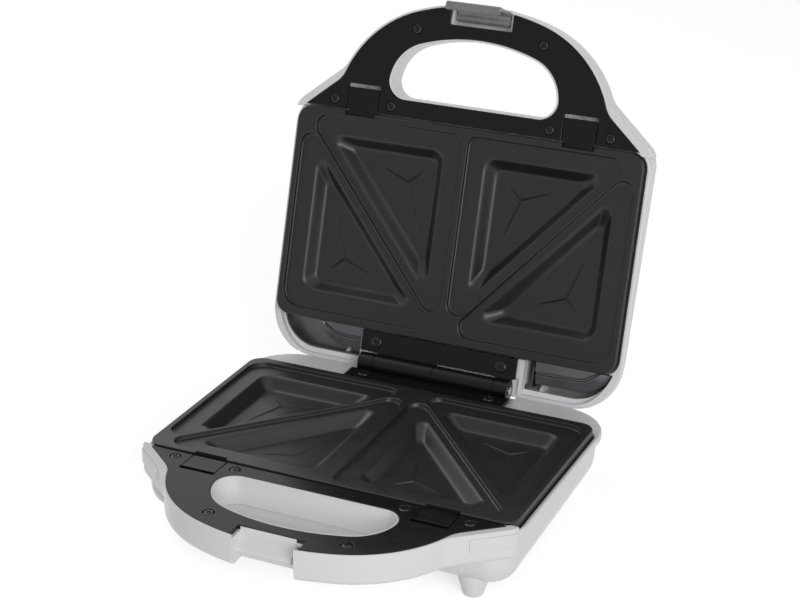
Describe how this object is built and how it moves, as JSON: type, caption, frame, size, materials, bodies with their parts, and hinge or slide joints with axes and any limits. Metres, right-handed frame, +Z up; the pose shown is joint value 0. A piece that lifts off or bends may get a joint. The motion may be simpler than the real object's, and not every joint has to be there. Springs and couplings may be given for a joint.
{
  "type": "sandwich toaster",
  "caption": "Hinged countertop toaster: white casings, dark removable triangular-pocket plates, black handle covers with plate-release clips, front latch.",
  "frame": {"origin": "middle of the open toaster's footprint, on the surface under its feet", "axes": "+X to the right seen from the front, +Y from the handle to the hinge, +Z up"},
  "size_m": [0.2326, 0.3066, 0.2734],
  "materials": {
    "shell_white": "gloss white moulded plastic",
    "cover_black": "satin black moulded plastic",
    "plate_coating": "cast aluminium with a dark non-stick coating",
    "fastener_black": "blackened steel screws",
    "leaf_black": "satin black enamelled steel",
    "pin_steel": "bright steel",
    "catch_steel": "pressed steel sheet",
    "clip_black": "satin black moulded plastic",
    "spring_steel": "spring wire",
    "reflector_sheet": "pressed aluminised sheet",
    "tube_steel": "heat-tinted steel tube",
    "ceramic_white": "glazed ceramic",
    "thermostat_body": "ceramic body with steel cap",
    "fuse_metal": "aluminium can",
    "wire_red": "silicone sleeved wire",
    "gland_black": "black rubber bush",
    "latch_smoke": "translucent grey plastic",
    "lens_red": "translucent red lens",
    "lens_green": "translucent green lens",
    "lamp_glass": "neon lamp glass",
    "board_green": "lamp carrier board"
  },
  "bodies": {
    "base": {"base_shell": "shell_white", "base_trim": "cover_black", "base_trim_screws": "fastener_black", "base_plate": "plate_coating", "base_plate_catches": "catch_steel", "base_hinge_leaf": "leaf_black", "base_hinge_screws": "fastener_black", "hinge_pin": "pin_steel", "base_clip_spring_left": "spring_steel", "base_clip_spring_right": "spring_steel", "base_reflector": "reflector_sheet", "base_reflector_screws": "catch_steel", "base_heater": "tube_steel", "base_heater_clamps": "catch_steel", "base_heater_terminals": "ceramic_white", "thermostat": "thermostat_body", "thermal_fuse": "fuse_metal", "terminal_block": "ceramic_white", "base_wiring": "wire_red", "cord_gland": "gland_black"},
    "lid": {"lid_shell": "shell_white", "lid_trim": "cover_black", "lid_trim_screws": "fastener_black", "lid_plate": "plate_coating", "lid_plate_catches": "catch_steel", "lid_hinge_leaf": "leaf_black", "lid_hinge_screws": "fastener_black", "lid_clip_spring_left": "spring_steel", "lid_clip_spring_right": "spring_steel", "lid_reflector": "reflector_sheet", "lid_reflector_screws": "catch_steel", "lid_heater": "tube_steel", "lid_heater_clamps": "catch_steel", "lid_heater_terminals": "ceramic_white", "latch_pin": "pin_steel", "lamp_lens_red": "lens_red", "lamp_lens_green": "lens_green", "lamp_bulbs": "lamp_glass", "lamp_board": "board_green", "lid_wiring": "wire_red"},
    "latch": {"latch": "latch_smoke"},
    "base_clip_left": {"base_clip_left": "clip_black"},
    "base_clip_right": {"base_clip_right": "clip_black"},
    "lid_clip_left": {"lid_clip_left": "clip_black"},
    "lid_clip_right": {"lid_clip_right": "clip_black"}
  },
  "joints": [
    {"name": "lid_hinge", "type": "hinge", "parent": "base", "child": "lid", "pos_m": [0, 0.07253, 0.0505], "axis": [1, 0, 0], "range_deg": [0, 106]},
    {"name": "latch_pivot", "type": "hinge", "parent": "lid", "child": "latch", "pos_m": [0, 0.14061, 0.25891], "axis": [1, 0, 0], "range_deg": [-35, 8.5]},
    {"name": "base_clip_slide_left", "type": "slide", "parent": "base", "child": "base_clip_left", "axis": [0, -1, 0], "range_m": [0, 0.002], "stiffness_N_per_m": 300, "springref_m": -0.003, "deforming": ["base_clip_spring_left"]},
    {"name": "base_clip_slide_right", "type": "slide", "parent": "base", "child": "base_clip_right", "axis": [0, -1, 0], "range_m": [0, 0.002], "stiffness_N_per_m": 300, "springref_m": -0.003, "deforming": ["base_clip_spring_right"]},
    {"name": "lid_clip_slide_left", "type": "slide", "parent": "lid", "child": "lid_clip_left", "axis": [0, 0.2756, 0.9613], "range_m": [0, 0.002], "stiffness_N_per_m": 300, "springref_m": -0.003, "deforming": ["lid_clip_spring_left"]},
    {"name": "lid_clip_slide_right", "type": "slide", "parent": "lid", "child": "lid_clip_right", "axis": [0, 0.2756, 0.9613], "range_m": [0, 0.002], "stiffness_N_per_m": 300, "springref_m": -0.003, "deforming": ["lid_clip_spring_right"]}
  ]
}
